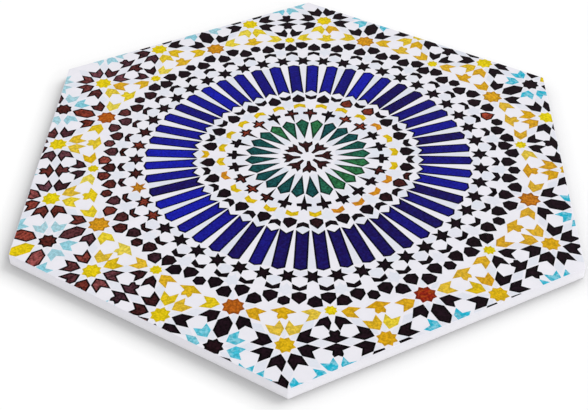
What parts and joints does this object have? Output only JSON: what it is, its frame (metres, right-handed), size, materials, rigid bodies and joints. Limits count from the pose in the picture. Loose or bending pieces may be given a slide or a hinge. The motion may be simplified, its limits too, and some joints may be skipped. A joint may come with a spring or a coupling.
{
  "type": "plastic wall tile",
  "caption": "Flat hexagonal tile of white foamed plastic board, printed with a round zellige mosaic rosette, glued to a wall by its plain back.",
  "frame": {"origin": "centre of the plain back face, where the tile meets the wall or the floor it lies on", "axes": "+Z out of the printed face, +Y towards one corner of the hexagon, +X square to two of its sides"},
  "size_m": [0.22, 0.2538, 0.005],
  "materials": {
    "board": "satin",
    "print_pale": "satin",
    "print_blue": "satin",
    "print_green": "satin",
    "print_dark": "satin",
    "print_yellow": "satin",
    "print_rust": "satin",
    "print_turquoise": "satin"
  },
  "bodies": {
    "root": {"tile": "board"}
  },
  "joints": []
}
